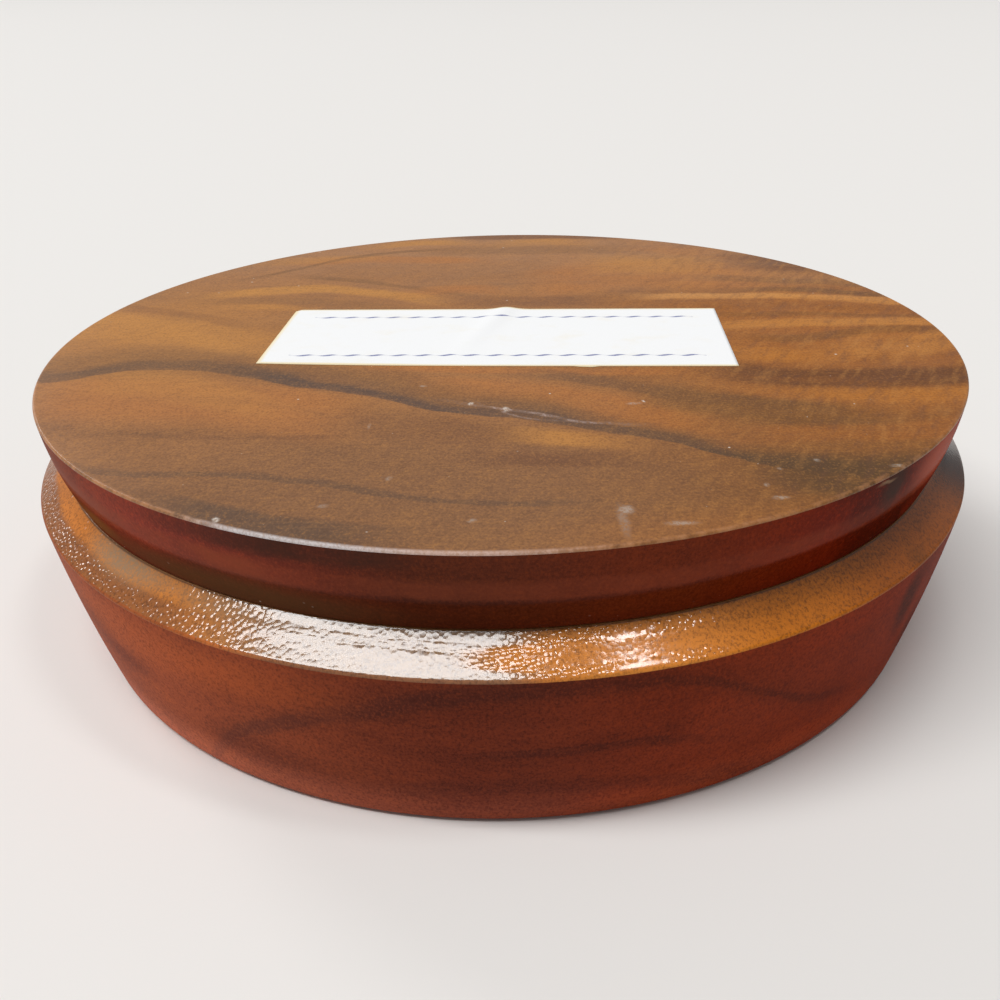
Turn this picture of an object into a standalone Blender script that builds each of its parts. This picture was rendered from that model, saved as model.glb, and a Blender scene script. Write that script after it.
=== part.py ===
"""A round turned wooden trinket box: a shallow base, a deep cap of a lid, and a paper label.

The box is modelled the way up that it stands: on the flat top of its lid, with the
underside of its base, which carries the label, facing up. Lengths are in metres and
+Z is up. The origin is on the resting surface, on the axis that both pieces are turned
about. Every profile is written as (radius, height) places, the height counted from
the resting surface.
"""
import math

import bmesh
import bpy
from mathutils import Vector

# The outside, from the waist where base and lid meet
WAIST_RADIUS = 0.0622
BASE_OVERHANG = 0.0028
BASE_SIDE_HEIGHT = 0.0106
LEDGE_WIDTH = 0.0045
LEDGE_RISE = 0.0031
LID_SIDE_HEIGHT = 0.0229
LID_SIDE_TAPER = 0.0048

# How far each of those surfaces is bowed at its middle
BASE_SIDE_CROWN = 0.0004
LEDGE_HOLLOW = 0.00025
LID_SIDE_CROWN = 0.0003

# The inside
LID_TOP_THICKNESS = 0.0052
LID_WALL = 0.0072
LID_HOLLOW_ROUND = 0.006
BASE_FLOOR_THICKNESS = 0.0054
SPIGOT_WALL = 0.005
SPIGOT_LENGTH = 0.010
TRAY_ROUND = 0.005

# Running clearance round the spigot, and the line between the two pieces
SPIGOT_CLEARANCE = 0.0004
SEAM = 0.0003

# Rounded arrises
BASE_RIM_ROUND = 0.00035
LIP_ROUND = 0.0004
LID_TOP_ROUND = 0.0012
MOUTH_ROUND = 0.0004
SPIGOT_ROUND = 0.0008

# The paper label on the base's flat face
LABEL_WIDTH = 0.0667
LABEL_DEPTH = 0.0254
LABEL_THICKNESS = 0.0002
LABEL_GAP = 0.0003
LABEL_TURN = math.radians(-3.8)

# Fineness of the turned surfaces
TURN_STEPS = 96
CORNER_STEPS = 3
HOLLOW_STEPS = 6
BOW_STEPS = 4
SHARP_ANGLE = math.radians(35)
MERGE_DISTANCE = 0.000001

# Sizes that follow from those above
WAIST_HEIGHT = LID_SIDE_HEIGHT + LEDGE_RISE
BOX_HEIGHT = WAIST_HEIGHT + BASE_SIDE_HEIGHT
BASE_RADIUS = WAIST_RADIUS + BASE_OVERHANG
LIP_RADIUS = WAIST_RADIUS + LEDGE_WIDTH
LID_TOP_RADIUS = LIP_RADIUS - LID_SIDE_TAPER
HOLLOW_RADIUS = WAIST_RADIUS - LID_WALL
SPIGOT_RADIUS = HOLLOW_RADIUS - SPIGOT_CLEARANCE
TRAY_RADIUS = SPIGOT_RADIUS - SPIGOT_WALL
SHOULDER_HEIGHT = WAIST_HEIGHT + SEAM
SPIGOT_END_HEIGHT = SHOULDER_HEIGHT - SPIGOT_LENGTH
TRAY_FLOOR_HEIGHT = BOX_HEIGHT - BASE_FLOOR_THICKNESS


def clear_scene():
    for old in list(bpy.data.objects):
        bpy.data.objects.remove(old, do_unlink=True)


def plain_material(name, colour, roughness):
    material = bpy.data.materials.new(name)
    material.use_nodes = True
    shader = material.node_tree.nodes["Principled BSDF"]
    shader.inputs["Base Color"].default_value = (*colour, 1.0)
    shader.inputs["Roughness"].default_value = roughness
    shader.inputs["Metallic"].default_value = 0.0
    return material


def rounded_corner(before, corner, after, radius, steps):
    """The arc of this radius that rounds a corner between two straight runs."""
    corner = Vector(corner)
    to_before = (Vector(before) - corner).normalized()
    to_after = (Vector(after) - corner).normalized()
    half_angle = to_before.angle(to_after) / 2
    bisector = (to_before + to_after).normalized()
    centre = corner + bisector * radius / math.sin(half_angle)
    first = corner + to_before * radius / math.tan(half_angle) - centre
    sweep = first.angle_signed(-bisector) * 2
    points = []
    for step in range(steps + 1):
        turn = -sweep * step / steps
        across = first.x * math.cos(turn) - first.y * math.sin(turn)
        up = first.x * math.sin(turn) + first.y * math.cos(turn)
        points.append((centre.x + across, centre.y + up))
    return points


def bowed_run(start, end, bow, steps):
    """The places inside a run that is bowed to its right by this much at its middle."""
    start = Vector(start)
    run = Vector(end) - start
    right = Vector((run.y, -run.x)).normalized()
    points = []
    for step in range(1, steps):
        share = step / steps
        place = start + run * share + right * bow * 4 * share * (1 - share)
        points.append((place.x, place.y))
    return points


def turned_piece(name, profile, origin_height, material):
    """Spin a profile that starts and ends on the axis into one closed solid."""
    shape = bmesh.new()
    places = [shape.verts.new((radius, 0, height - origin_height)) for radius, height in profile]
    edges = [shape.edges.new(pair) for pair in zip(places, places[1:])]
    bmesh.ops.spin(
        shape,
        geom=places + edges,
        cent=(0, 0, 0),
        axis=(0, 0, 1),
        angle=math.tau,
        steps=TURN_STEPS,
    )
    bmesh.ops.remove_doubles(shape, verts=shape.verts[:], dist=MERGE_DISTANCE)
    bmesh.ops.recalc_face_normals(shape, faces=shape.faces[:])
    mesh = bpy.data.meshes.new(name)
    shape.to_mesh(mesh)
    shape.free()
    mesh.shade_smooth()
    mesh.set_sharp_from_angle(angle=SHARP_ANGLE)
    mesh.materials.append(material)
    piece = bpy.data.objects.new(name, mesh)
    piece.location = (0, 0, origin_height)
    bpy.context.collection.objects.link(piece)
    return piece


def lid_profile():
    """The deep cap, standing on its flat top, with its mouth facing up."""
    top_centre = (0, 0)
    top_edge = (LID_TOP_RADIUS, 0)
    lip = (LIP_RADIUS, LID_SIDE_HEIGHT)
    waist = (WAIST_RADIUS, WAIST_HEIGHT)
    mouth = (HOLLOW_RADIUS, WAIST_HEIGHT)
    hollow_corner = (HOLLOW_RADIUS, LID_TOP_THICKNESS)
    hollow_centre = (0, LID_TOP_THICKNESS)
    top_arc = rounded_corner(top_centre, top_edge, lip, LID_TOP_ROUND, CORNER_STEPS)
    lip_arc = rounded_corner(top_edge, lip, waist, LIP_ROUND, CORNER_STEPS)
    mouth_arc = rounded_corner(waist, mouth, hollow_corner, MOUTH_ROUND, CORNER_STEPS)
    hollow_arc = rounded_corner(mouth, hollow_corner, hollow_centre, LID_HOLLOW_ROUND, HOLLOW_STEPS)
    return [
        top_centre,
        *top_arc,
        *bowed_run(top_arc[-1], lip_arc[0], LID_SIDE_CROWN, BOW_STEPS),
        *lip_arc,
        *bowed_run(lip_arc[-1], waist, -LEDGE_HOLLOW, BOW_STEPS),
        waist,
        *mouth_arc,
        *hollow_arc,
        hollow_centre,
    ]


def base_profile():
    """The shallow base, its floor up and its spigot down inside the lid."""
    floor_centre = (0, TRAY_FLOOR_HEIGHT)
    tray_corner = (TRAY_RADIUS, TRAY_FLOOR_HEIGHT)
    spigot_inside = (TRAY_RADIUS, SPIGOT_END_HEIGHT)
    spigot_outside = (SPIGOT_RADIUS, SPIGOT_END_HEIGHT)
    spigot_root = (SPIGOT_RADIUS, SHOULDER_HEIGHT)
    shoulder = (WAIST_RADIUS, SHOULDER_HEIGHT)
    rim = (BASE_RADIUS, BOX_HEIGHT)
    face_centre = (0, BOX_HEIGHT)
    tray_arc = rounded_corner(floor_centre, tray_corner, spigot_inside, TRAY_ROUND, HOLLOW_STEPS)
    inside_arc = rounded_corner(tray_corner, spigot_inside, spigot_outside, SPIGOT_ROUND, CORNER_STEPS)
    outside_arc = rounded_corner(spigot_inside, spigot_outside, spigot_root, SPIGOT_ROUND, CORNER_STEPS)
    rim_arc = rounded_corner(shoulder, rim, face_centre, BASE_RIM_ROUND, CORNER_STEPS)
    return [
        floor_centre,
        *tray_arc,
        *inside_arc,
        *outside_arc,
        spigot_root,
        shoulder,
        *bowed_run(shoulder, rim_arc[0], BASE_SIDE_CROWN, BOW_STEPS),
        *rim_arc,
        face_centre,
    ]


def paper_label(carrier, material):
    """A thin rectangle of paper, laid a little askew on the base's flat face."""
    shape = bmesh.new()
    bmesh.ops.create_cube(shape, size=1)
    bmesh.ops.scale(shape, vec=(LABEL_WIDTH, LABEL_DEPTH, LABEL_THICKNESS), verts=shape.verts[:])
    mesh = bpy.data.meshes.new("paper_label")
    shape.to_mesh(mesh)
    shape.free()
    mesh.materials.append(material)
    label = bpy.data.objects.new("paper_label", mesh)
    label_middle = BOX_HEIGHT + LABEL_GAP + LABEL_THICKNESS / 2
    label.parent = carrier
    label.location = (0, 0, label_middle - SHOULDER_HEIGHT)
    label.rotation_euler = (0, 0, LABEL_TURN)
    bpy.context.collection.objects.link(label)
    return label


def build():
    clear_scene()
    lid_wood = plain_material("lid_wood", (0.25, 0.07, 0.025), 0.25)
    base_wood = plain_material("base_wood", (0.32, 0.13, 0.045), 0.45)
    paper = plain_material("label_paper", (0.88, 0.88, 0.84), 0.8)
    turned_piece("lid", lid_profile(), 0, lid_wood)
    base = turned_piece("base", base_profile(), SHOULDER_HEIGHT, base_wood)
    paper_label(base, paper)


build()
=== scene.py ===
"""The looks of the round turned wooden trinket box, which stands on the flat top of its lid.

Three pieces replace the plain solids of the frame: the lid and the base, turned again
with finer outlines, and the paper label. The wood's figure is written in the space of
the block that each piece was turned from, so it runs on over edges and sides.
Lengths are in metres, except where a name ends in MM. Values whose names end in SHARE or
SHARES are in hundredths of the base's radius, unless their comment says otherwise.
Colours are linear red, green and blue.
"""
import math

import bmesh
import bpy
from mathutils import Matrix, Vector, noise


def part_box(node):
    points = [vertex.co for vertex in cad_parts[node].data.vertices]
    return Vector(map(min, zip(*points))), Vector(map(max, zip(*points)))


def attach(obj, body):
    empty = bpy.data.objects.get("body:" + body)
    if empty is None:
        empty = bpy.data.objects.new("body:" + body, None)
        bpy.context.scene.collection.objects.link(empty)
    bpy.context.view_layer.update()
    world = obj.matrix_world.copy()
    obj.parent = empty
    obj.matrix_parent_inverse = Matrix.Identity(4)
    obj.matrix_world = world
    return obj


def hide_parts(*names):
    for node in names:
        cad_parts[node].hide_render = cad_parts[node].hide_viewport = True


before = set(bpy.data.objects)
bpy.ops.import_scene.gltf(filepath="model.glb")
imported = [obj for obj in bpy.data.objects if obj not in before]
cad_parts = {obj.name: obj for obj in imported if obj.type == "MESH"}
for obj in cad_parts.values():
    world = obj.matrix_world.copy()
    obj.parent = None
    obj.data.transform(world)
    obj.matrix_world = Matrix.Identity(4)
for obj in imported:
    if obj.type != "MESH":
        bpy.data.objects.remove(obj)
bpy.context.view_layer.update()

LID_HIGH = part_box("lid")[1]
BASE_LOW, BASE_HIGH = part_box("base")
MM = 0.001

# The outline, as the solids have it
WAIST_HEIGHT = LID_HIGH[2]
WAIST_MM = WAIST_HEIGHT / MM
BOX_HEIGHT = BASE_HIGH[2]
SPIGOT_END_HEIGHT = BASE_LOW[2]
WAIST_RADIUS = 0.0622
BASE_RADIUS = 0.0650
LIP_RADIUS = 0.0667
LIP_HEIGHT = 0.0229
LID_TOP_RADIUS = 0.0619
HOLLOW_RADIUS = 0.0550
SPIGOT_RADIUS = 0.0546
TRAY_RADIUS = 0.0496
LID_TOP_THICKNESS = 0.0052
BASE_FLOOR_THICKNESS = 0.0054
VISIBLE_SEAM = 0.00012

# Bows and rounded arrises
BASE_SIDE_CROWN = 0.0004
LEDGE_OUTER_HOLLOW = 0.00002
LEDGE_INNER_HOLLOW = 0.00003
LEDGE_BREAK_DEPTH = 0.00003
LEDGE_BREAK_ROUND = 0.0006
LID_SIDE_CROWN = 0.0003
BASE_RIM_ROUND = 0.00030
LIP_ROUND = 0.0004
LID_TOP_ROUND = 0.0012
MOUTH_ROUND = 0.0004
WAIST_ROUND = 0.00015
SPIGOT_ROUND = 0.0008
LID_HOLLOW_ROUND = 0.006
TRAY_ROUND = 0.005

# The part of the ledge's slope that lies outside its break
LEDGE_OUTER_SHARE = 0.6

# Fineness
TURN_STEPS = 360
ROUND_STEPS = 6
HOLLOW_STEPS = 12
BOW_STEPS = 12
FLAT_STEPS = 8
SHARP_ANGLE = math.radians(35)

# The label: a sheet of paper with a pucker, a nicked corner and a torn fringe
LABEL_WIDTH = 0.0667
LABEL_DEPTH = 0.0254
LABEL_THICKNESS = 0.00012
LABEL_TURN = math.radians(-3.8)
LABEL_STEP = 0.0004
PUCKER_HEIGHT = 0.00036
PUCKER_HALF_WIDTH = 0.0018
PUCKER_TOP = (0.0005, 0.0127)
PUCKER_END = (-0.0055, -0.0085)
PUCKER_FADE = 1.15
CORNER_NICK = 0.0009
TORN_START = 0.0112
TORN_END = 0.0146
TORN_REACH = 0.0006
TORN_LEAST = 0.6
TORN_GRAIN = 0.0012
FRONT_REACH = 0.0012
FRONT_CURVE = 4

# Surroundings
FLOOR_REACH = 12.0
FLOOR_SHADE = (0.8, 0.78, 0.755)
WORLD_COLOUR = (1, 1, 1, 1)
WORLD_LIGHT = 0.26

# A long soft box far overhead: the way to its middle and along it, its distance, size and watts
BOX_LIGHT_WAY = (-0.33, -0.19, 0.925)
BOX_LIGHT_ALONG = (0.06, -0.245, 0.967)
BOX_LIGHT_DISTANCE = 30.0
BOX_LIGHT_LENGTH = 25.5
BOX_LIGHT_WIDTH = 5.8
BOX_LIGHT_POWER = 6700

# Two small far lamps beside it: direction, width and strength
FAR_LAMPS = [
    ((-0.636, 0.634, 0.439), math.radians(16), 0.6),
    ((0.298, -0.124, 0.946), math.radians(8.5), 0.36),
]

# The camera, fitted to the photograph's rings and label
FOCAL_PIXELS = 1045
PICTURE_PIXELS = 1000
SENSOR_WIDTH_MM = 36
CAMERA_PLACE = (-0.0004, -0.1499, 0.08555)
CAMERA_PITCH = math.radians(27.07)
CAMERA_ROLL = math.radians(-1.34)

# The wood's colours
GOLD = (0.55, 0.245, 0.062)
ORANGE = (0.45, 0.175, 0.052)
TAN = (0.38, 0.168, 0.06)
BROWN = (0.285, 0.125, 0.048)
UMBER = (0.2, 0.102, 0.046)
PLUM = (0.125, 0.054, 0.034)
HEARTWOOD = (0.11, 0.07, 0.05)
PALE = (0.43, 0.215, 0.105)
DUSKY = (0.225, 0.112, 0.056)
AMBER = (0.66, 0.33, 0.12)
STREAK = (0.1, 0.068, 0.056)
PORE = (0.1, 0.045, 0.02)
DUST = (0.74, 0.66, 0.58)
# The painted highlight on the face's rim: white, turning pink
RIM_HIGHLIGHT_WHITE = (0.7, 0.67, 0.68)
RIM_HIGHLIGHT_PINK = (0.66, 0.47, 0.4)
WORN_TAN = (0.47, 0.215, 0.095)
SCRATCHED = (0.56, 0.41, 0.36)
DUSTY_LEDGE = (0.34, 0.215, 0.12)

# The lacquered sides' deep colours; the red, rose, olive and orange are painted reflections
SIDE_RED_REFLECTION = (0.27, 0.055, 0.022)
SIDE_ROSE_REFLECTION = (0.4, 0.075, 0.035)
SIDE_DARK = (0.044, 0.018, 0.011)
SIDE_OLIVE_REFLECTION = (0.095, 0.048, 0.02)
SIDE_ORANGE_REFLECTION = (0.2, 0.075, 0.022)

# Tints along the grain, with places along the grain as shares. On the sides they are painted shade with
# a painted red reflection at the left, at the ledge's front a painted glow of reflected light, and on
# the face they grow darker and more saturated towards the right
FACE_TINT_STOPS = [(0, (0.97, 0.95, 0.93)), (60, (0.86, 0.69, 0.38))]
BASE_SIDE_SHADE_AND_REFLECTION_STOPS = [
    (-85, (0.65, 0.26, 0.16)),
    (-60, (1.16, 0.37, 0.44)),
    (-10, (0.44, 0.19, 0.16)),
    (25, (0.54, 0.2, 0.155)),
    (60, (0.74, 0.145, 0.09)),
]
LID_SIDE_SHADE_AND_REFLECTION_STOPS = [
    (-70, (0.98, 0.48, 0.5)),
    (0, (0.49, 0.19, 0.2)),
    (30, (0.6, 0.18, 0.12)),
    (80, (0.6, 0.14, 0.06)),
]
LEDGE_REFLECTED_GLOW_STOPS = [
    (-90, (1.4, 1.0, 0.42)),
    (0, (1.4, 1.1, 0.6)),
    (25, (1.5, 1.15, 0.6)),
    (45, (1.13, 0.75, 0.15)),
    (70, (0.74, 0.42, 0.095)),
]
# Painted shade and reflection, darker low on the base's side
BASE_SIDE_LOW_SHADE_TINT = (0.7, 0.64, 0.62)
# Dust and a painted reflection, paler and greyer at the lid's foot
LID_FOOT_DUST_AND_SHEEN_TINT = (1.5, 1.85, 2.5)
LEDGE_INNER_TINT = (0.7, 0.7, 0.7)
# Painted shade, darker and cooler, where the ledge's highlight falls, so that the highlight shows white
LEDGE_UNDER_HIGHLIGHT_TINT = (0.42, 0.68, 2.2)
LEDGE_CROWD_TINT = (0.52, 0.55, 1.1)
LIP_TINT = (1.05, 0.78, 0.72)

# Ink and paper
PAPER = (0.89, 0.895, 0.9)
AGED_PAPER = (0.86, 0.72, 0.43)
INK = (0.1, 0.12, 0.33)

# Sizes of the wood's features along the grain, across it and up, in millimetres
BROAD_BAND_MM = (60, 12, 12)
FINE_BAND_MM = (34, 3.4, 3.4)
CLOUD_MM = (11, 7, 7)
FIBRE_MM = (4, 0.6, 0.6)
GRIT_MM = (0.3, 0.38, 0.38)
PORE_MM = (0.9, 0.24, 0.24)
CURL_MM = (1.3, 5, 5)
CURL_SLANT = 0.55
PEEL_MM = (2.6, 2.6, 2.6)
DRAWN_MM = (4, 4, 0.34)
CHIP_MM = (1.4, 1.4, 1.4)
CHIP_REACH_MM = 0.14
RIM_WEAR_AND_HIGHLIGHT_WIDTH_MM = 0.6
STAIN_MM = (7, 5, 5)
STAIN_REACH_MM = 0.5
DROP_MM = 0.62
DROP_HEIGHT_MM = 0.062
DROP_FALL = 2.0
PEEL_HEIGHT_MM = 0.01
FIBRE_HEIGHT_MM = 0.02
SEAM_DUST_SPACING_MM = 0.9
SEAM_DUST_REACH_MM = 1.1
SEAM_DARK_LINE_MM = 0.2
PIT_SPACING_MM = 0.6
FLOOR_GRAIN_MM = (4, 4, 4)

# The label's printed rules, in millimetres: rows of slanting strokes, thick in the middle
RULE_HEIGHTS_MM = (8.4, -9.5)
RULE_HALF_LENGTH_MM = 29.6
RULE_END_MM = 0.2
RULE_PERIOD_MM = 3.4
RULE_SWING_MM = 0.17
RULE_WIDTH_MM = 0.16
RULE_SWELL_MM = 0.15
RULE_BLUR_MM = 0.1
AGED_WIDTH_MM = 0.8

# How the figure's lines wander and fray, by size and reach, and how it leans with height
WANDER_MM = ((17, 8, 8), 2.6)
FRAY_MM = ((4.5, 1.6, 1.6), 0.9)
BLOCK_LEAN = 0.5

# The base's radius in its own hundredths, and one of them in millimetres
RADIUS_SHARE = 100
SHARE_MM = BASE_RADIUS / MM / RADIUS_SHARE

# Where bands, lumps and specks are full and lumps end, as parts of their reach, and how
# softly chance picks the specks
BAND_CORE_SHARE = 0.35
LUMP_CORE_SHARE = 0.25
LUMP_END_SHARE = 1.25
SPECK_CORE_SHARE = 0.3
CHANCE_BLUR = 0.01

# How far a band takes to fade at its ends, and past where it runs off the wood instead
END_FADE_SHARE = 9
FULL_LENGTH_SHARE = 95

# The plain figure: layers of noise, with their size, detail, roughness and weight, and the
# colours that come one after another as their sum rises
FIGURE_LAYERS = [(BROAD_BAND_MM, 2, 0.5, 0.45), (FINE_BAND_MM, 3, 0.6, 0.25), (CLOUD_MM, 2, 0.5, 0.3)]
FIGURE_SHADES = [(0.15, 0.45, BROWN), (0.35, 0.55, TAN), (0.55, 0.9, GOLD)]

# Fibres, grit and pores: size, detail, roughness, where they start and are full, strength, colour
FIBRE_LAYERS = [
    (FIBRE_MM, 3, 0.6, 0.45, 0.75, 0.14, PLUM),
    (FIBRE_MM, 3, 0.6, 0.5, 0.25, 0.12, GOLD),
    (GRIT_MM, 2, 0.7, 0.47, 0.7, 0.36, PORE),
    (GRIT_MM, 2, 0.7, 0.5, 0.28, 0.26, GOLD),
    (PORE_MM, 1, 0.5, 0.66, 0.76, 0.3, PORE),
]

# Broken masks of noise: its size, where it starts and is full, its least level, its detail
# and roughness
FIGURE_PATCHES = (FINE_BAND_MM, 0.3, 0.6, 0.7, 3, 0.6)
SIDE_PATCHES = (CLOUD_MM, 0.32, 0.6, 0.4, 4, 0.65)
DROP_PATCHES = (CLOUD_MM, 0.35, 0.65, 0.7, 2, 0.5)
SCRATCH_PATCHES = (CHIP_MM, 0.4, 0.6, 0.25)
MARK_PATCHES = (GRIT_MM, 0.36, 0.6, 0.15)
RIM_PATCHES = (GRIT_MM, 0.35, 0.6, 0.6)
LEDGE_PATCHES = (GRIT_MM, 0.3, 0.6, 0.5)
DUST_PATCHES = (GRIT_MM, 0.35, 0.6, 0.5)

# The fine ripple of curly grain, as these layers, and where it grows strong along the grain
CURL_LAYERS = [(0.5, 0.72, 0.24, GOLD), (0.5, 0.28, 0.3, PLUM)]
CURL_REACH_SHARES = (10, 75)

# Dust on the face: spacing in millimetres, the part of it shown, the largest dot, strength
DUST_LAYERS = [(3.0, 0.6, 0.09, 0.8), (1.2, 0.3, 0.12, 0.4)]

# The figure's lines dip with the main streak in the front half of the base's face
FALL_REACH_SHARES = (10, -30)
FALL_SHARES = {-100: 0, -60: 0, -40: -6, -20: -17, 0: -29, 20: -40, 40: -50, 60: -56, 100: -58}

# Broad parts of the face that are lighter or darker: colour, strength, centre, half size. The pale part
# at the back is a painted sheen, and the large dusky part in front a painted haze of reflected light
FACE_ZONE_SHARES = [
    (PALE, 0.65, (0, 85), (120, 55)),
    (DUSKY, 0.8, (-15, -92), (110, 50)),
    (ORANGE, 0.35, (85, -5), (50, 60)),
    (GOLD, 0.5, (-80, 2), (36, 42)),
    (DUSKY, 0.5, (62, -68), (36, 24)),
    (ORANGE, 0.3, (40, -98), (42, 11)),
]

# Bands across the base's face, painted in this order: colour, strength, reach above and
# below, and the places that each passes, as along: across
FACE_BAND_SHARES = [
    (GOLD, 0.7, 15, 13, {-100: 12, -80: 8, -62: 0, -50: -7}),
    (GOLD, 0.85, 7, 6, {-99: 20, -84: 14, -72: 4, -62: -5}),
    (BROWN, 0.5, 4, 4, {-100: 30, -85: 25, -72: 18, -60: 12}),
    (ORANGE, 0.85, 12, 20, {-92: -31, -70: -33, -50: -38, -30: -44}),
    (GOLD, 0.4, 6, 12, {-85: -24, -70: -26, -55: -33, -45: -40}),
    (BROWN, 0.35, 15, 13, {-50: 58, -30: 57, 0: 56, 15: 60}),
    (ORANGE, 0.7, 22, 20, {10: 42, 35: 50, 60: 45, 70: 40}),
    (GOLD, 0.6, 14, 14, {28: 62, 42: 60, 58: 60}),
    (ORANGE, 0.75, 6, 5, {-55: 70, -40: 72, -20: 70, -5: 68}),
    (GOLD, 0.5, 5, 6, {-65: 72, -50: 74, -36: 75}),
    (ORANGE, 0.45, 8, 8, {42: 80, 55: 75, 66: 68}),
    (UMBER, 0.4, 9, 7, {-20: 80, 0: 80, 20: 78, 38: 78}),
    (GOLD, 0.75, 5, 4, {-35: 88, -22: 91, -10: 90}),
    (GOLD, 0.6, 6, 6, {0: 88, 12: 89, 25: 87}),
    (PLUM, 0.6, 6, 5, {-14: 100, 0: 97, 15: 96, 40: 93}),
    (PLUM, 0.65, 12, 12, {68: 60, 76: 58, 97: 50}),
    (UMBER, 0.45, 5, 4, {55: 44, 75: 40, 97: 33}),
    (UMBER, 0.6, 1.2, 3, {-68: 55, -56: 64, -45: 74, -30: 81, -15: 84}),
    (GOLD, 0.95, 5.5, 5.5, {-74: 38, -60: 41, -45: 42, -33: 37, -15: 28}),
    (UMBER, 0.55, 4, 1.5, {-52: 54, -38: 49, -28: 44, -20: 38, -10: 32}),
    (UMBER, 0.3, 3.5, 4, {-75: 32, -58: 32, -42: 29.5, -30: 25, -20: 20}),
    (GOLD, 0.7, 3, 3, {-66: 27, -56: 26.5, -48: 25}),
    (ORANGE, 0.75, 6, 6, {-20: 37, -10: 38.5, 0: 37}),
    (PLUM, 0.35, 6, 6, {-12: 28, 0: 27, 12: 26, 25: 26}),
    (ORANGE, 0.85, 3.5, 3, {-30: -20, 0: -23.5, 20: -26, 35: -27}),
    (AMBER, 0.95, 4, 4, {38: 28.5, 60: 27, 75: 24.5, 90: 21.5, 100: 18}),
    (UMBER, 0.7, 2.5, 3, {60: 32.5, 80: 30, 92: 26, 100: 23.5}),
    (BROWN, 0.3, 4.5, 4, {50: 18, 70: 16.5, 100: 12}),
    (UMBER, 0.45, 2.5, 2, {50: 11, 70: 10, 90: 8, 100: 6}),
    (AMBER, 0.8, 4.5, 4.5, {50: 3, 70: 3.5, 90: 3, 100: 2}),
    (UMBER, 0.55, 3.5, 4, {58: -6, 70: -7, 85: -3, 100: -4}),
    (GOLD, 0.9, 6, 7, {50: -16, 58: -17, 66: -19}),
    (AMBER, 0.5, 7, 10, {72: -17, 78: -13, 83: -10}),
    (AMBER, 0.6, 7, 10, {84: -17, 90: -13, 97: -10}),
    (PLUM, 0.8, 7, 9, {45: -26, 60: -31, 80: -33, 100: -31}),
    (ORANGE, 0.8, 8, 8, {-13: -32, 5: -36, 20: -44, 38: -56}),
    (HEARTWOOD, 0.6, 6, 3, {8: -27, 20: -33, 32: -40, 45: -45.5, 62: -50}),
    (UMBER, 0.75, 10, 10, {30: -40, 42: -45, 55: -52, 70: -56}),
    (GOLD, 0.6, 5, 6, {60: -40, 70: -41, 80: -42, 97: -40}),
    (ORANGE, 0.5, 5, 6, {42: -60, 58: -60, 72: -60, 85: -56}),
    (PLUM, 0.3, 8, 8, {-32: -50, -15: -54, 0: -58}),
    (GOLD, 0.75, 5, 5, {3: -58, 12: -60, 20: -62}),
    (PLUM, 0.5, 4.5, 4, {-4: -67, 7: -68.5, 20: -70}),
    (PLUM, 0.28, 1.2, 1.4, {-75: -52, -60: -54.5, -45: -56, -28: -57}),
    (HEARTWOOD, 0.5, 2.2, 1.1, {
        -75: -66, -63: -70.5, -50: -71, -40: -73.5, -30: -76, -20: -79.5, -8: -83, 10: -85,
    }),
    (HEARTWOOD, 0.8, 3.5, 8, {-54: -82, -42: -87, -32: -90, -20: -93}),
    (UMBER, 0.55, 15, 3, {
        -100: -19, -85: -14, -70: -15, -60: -19, -40: -27, -20: -37, 0: -46, 15: -53,
    }),
    (HEARTWOOD, 0.8, 8, 1.4, {
        -100: -24, -92: -23.5, -85: -20, -78: -17.5, -70: -18, -60: -21, -50: -25.5, -40: -31,
    }),
    (STREAK, 0.9, 5.5, 1.3, {
        -50: -25, -40: -30.5, -30: -34.5, -20: -40, -10: -46, 0: -49,
        10: -52, 20: -57, 30: -62.5, 40: -70, 50: -73.5, 62: -76,
    }),
    (STREAK, 0.3, 8.5, 3, {-50: -24, -30: -33, -10: -44, 10: -50, 30: -61}),
    (HEARTWOOD, 0.9, 10, 12, {44: -73, 58: -77, 78: -74}),
]

# Scratches on the face, in the same terms, and small rubbed marks: strength, centre, half size
SCRATCH_SHARES = [
    (SCRATCHED, 0.6, 1, 0.8, {-6: -42.4, 1: -45.5, 8: -48.7, 14: -52, 20.4: -53.5}),
    (SCRATCHED, 0.5, 0.6, 0.6, {0: -46, 5: -50, 10: -51.5}),
]
MARK_SHARES = [
    (0.9, (1, -45.2), (0.8, 1.4)),
    (0.8, (-5.7, -42), (0.6, 0.9)),
    (0.9, (27.5, -42.8), (0.35, 0.8)),
    (0.3, (25.5, -43.8), (1.6, 0.6)),
    (0.35, (19, -87.5), (1.3, 1.6)),
    (0.16, (18, -91), (1, 6)),
    (0.3, (26.8, -92.2), (2.8, 0.8)),
    (0.3, (43.6, -84.5), (1.6, 0.8)),
    (0.25, (42.5, -80), (0.5, 0.8)),
    (0.3, (65.5, -74.2), (1.4, 0.7)),
    (0.3, (53, -71.2), (0.6, 0.9)),
    (0.25, (46, -74.2), (0.5, 0.7)),
    (0.3, (-15.5, -31.8), (0.9, 0.5)),
    (0.2, (-19, -74.5), (0.6, 0.9)),
    (0.2, (-28.5, -83.8), (1, 0.7)),
    (0.25, (-5, -90), (0.8, 0.7)),
    (0.9, (-44.7, -87.8), (0.7, 1.1)),
    (0.2, (-24.5, -52), (0.4, 1.6)),
]

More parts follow.
